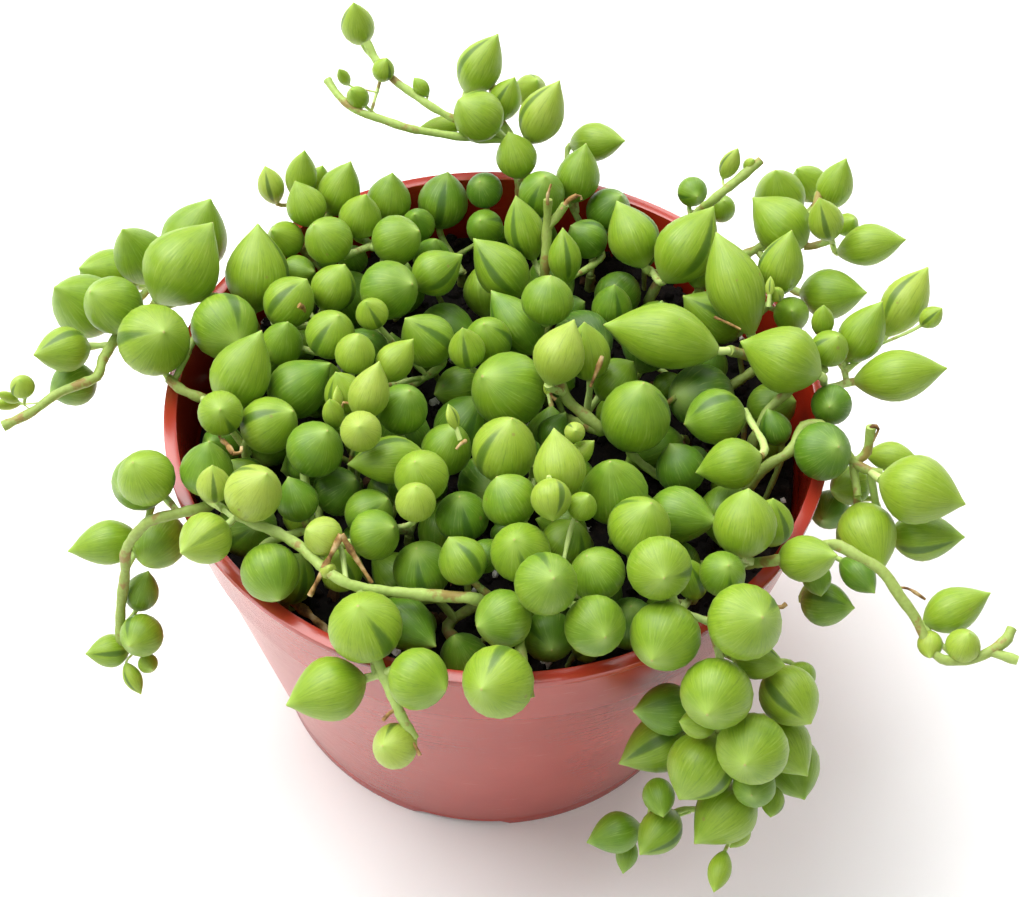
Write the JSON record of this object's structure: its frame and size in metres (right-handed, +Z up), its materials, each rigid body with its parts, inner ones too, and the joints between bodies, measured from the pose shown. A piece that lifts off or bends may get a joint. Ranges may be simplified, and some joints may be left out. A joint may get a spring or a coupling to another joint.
{
  "type": "potted string of tears plant",
  "caption": "Trailing succulent with pointed, swollen tear-shaped leaves on thin stems, growing in soil in a round tapered plastic nursery pot.",
  "frame": {"origin": "middle of the pot's underside, on the surface that it stands on", "axes": "+Z up, -Y towards the viewer of the picture, +X to the viewer's right"},
  "size_m": [0.163, 0.1427, 0.1],
  "materials": {
    "pot_plastic": "moulded terracotta-red polypropylene, semi-gloss",
    "potting_soil": "dark damp potting mix, matt and crumbly",
    "plant": "smooth waxy succulent skin, satin"
  },
  "bodies": {
    "root": {"pot": "pot_plastic", "soil": "potting_soil", "strand_back_left_rim": "plant", "strand_back_left_inner": "plant", "strand_back_middle": "plant", "strand_top": "plant", "strand_back_right_edge": "plant", "strand_back_right": "plant", "strand_centre_back": "plant", "strand_right_back_outer": "plant", "strand_right_back_inner": "plant", "strand_right_outer": "plant", "strand_long_leaf": "plant", "strand_centre": "plant", "strand_centre_big": "plant", "strand_centre_left_back": "plant", "strand_left_back_inner": "plant", "strand_centre_left_young": "plant", "strand_left_outer": "plant", "strand_left_rim": "plant", "strand_left_inner": "plant", "strand_left_front_hanging": "plant", "strand_front_left_shoot": "plant", "strand_centre_left_front": "plant", "strand_centre_left": "plant", "strand_front_centre": "plant", "strand_centre_pale": "plant", "strand_front_middle": "plant", "strand_centre_right": "plant", "strand_right_front_inner": "plant", "strand_front_right_hanging": "plant", "strand_right_hanging": "plant", "strand_right_front": "plant"}
  },
  "joints": []
}
